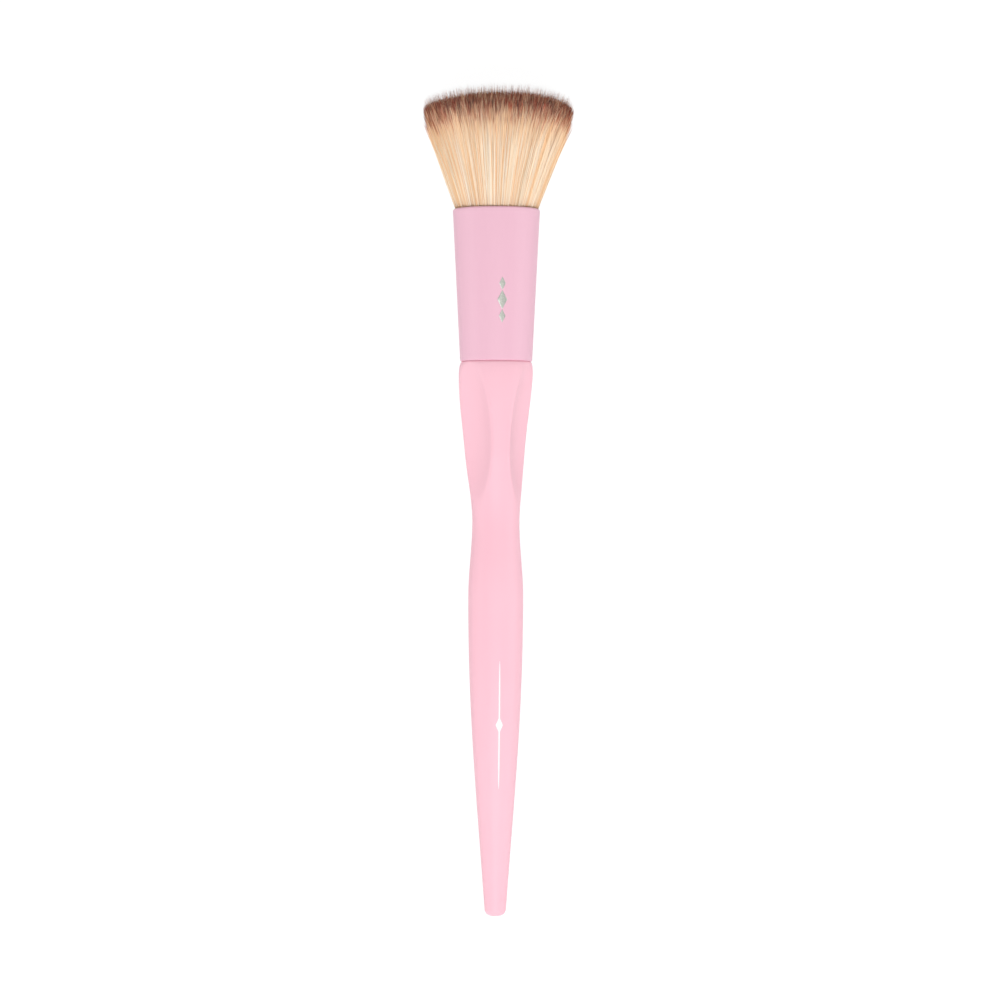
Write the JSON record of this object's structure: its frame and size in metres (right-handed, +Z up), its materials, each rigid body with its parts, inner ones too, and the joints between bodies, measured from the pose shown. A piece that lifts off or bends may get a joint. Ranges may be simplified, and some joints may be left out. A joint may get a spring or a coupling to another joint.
{
  "type": "foundation brush",
  "caption": "Flat-top foundation brush with a long scooped-grip handle, tapered tube ferrule and dense flared bristle tuft, lying on a table.",
  "frame": {"origin": "on the table under the middle of the brush's length", "axes": "+Y along the table from the tail towards the bristles, +Z up, +X to the right seen from above with the bristles away; the brush axis rises 4.4 degrees from tail to tuft"},
  "size_m": [0.0306, 0.1694, 0.0301],
  "materials": {
    "handle_plastic": "soft-touch satin, pale pink",
    "ferrule_coating": "satin lacquer, pale lilac pink",
    "bristle_fibre": "dyed fine fibre, cream with a brown band and pale tips",
    "cured_glue": "clear amber",
    "potting_resin": "amber",
    "binding_yarn": "waxed thread"
  },
  "bodies": {
    "root": {"handle": "handle_plastic", "ferrule": "ferrule_coating", "glue_rings": "cured_glue", "resin_plug": "potting_resin", "binding_thread": "binding_yarn", "bristle_tuft": "bristle_fibre"}
  },
  "joints": []
}
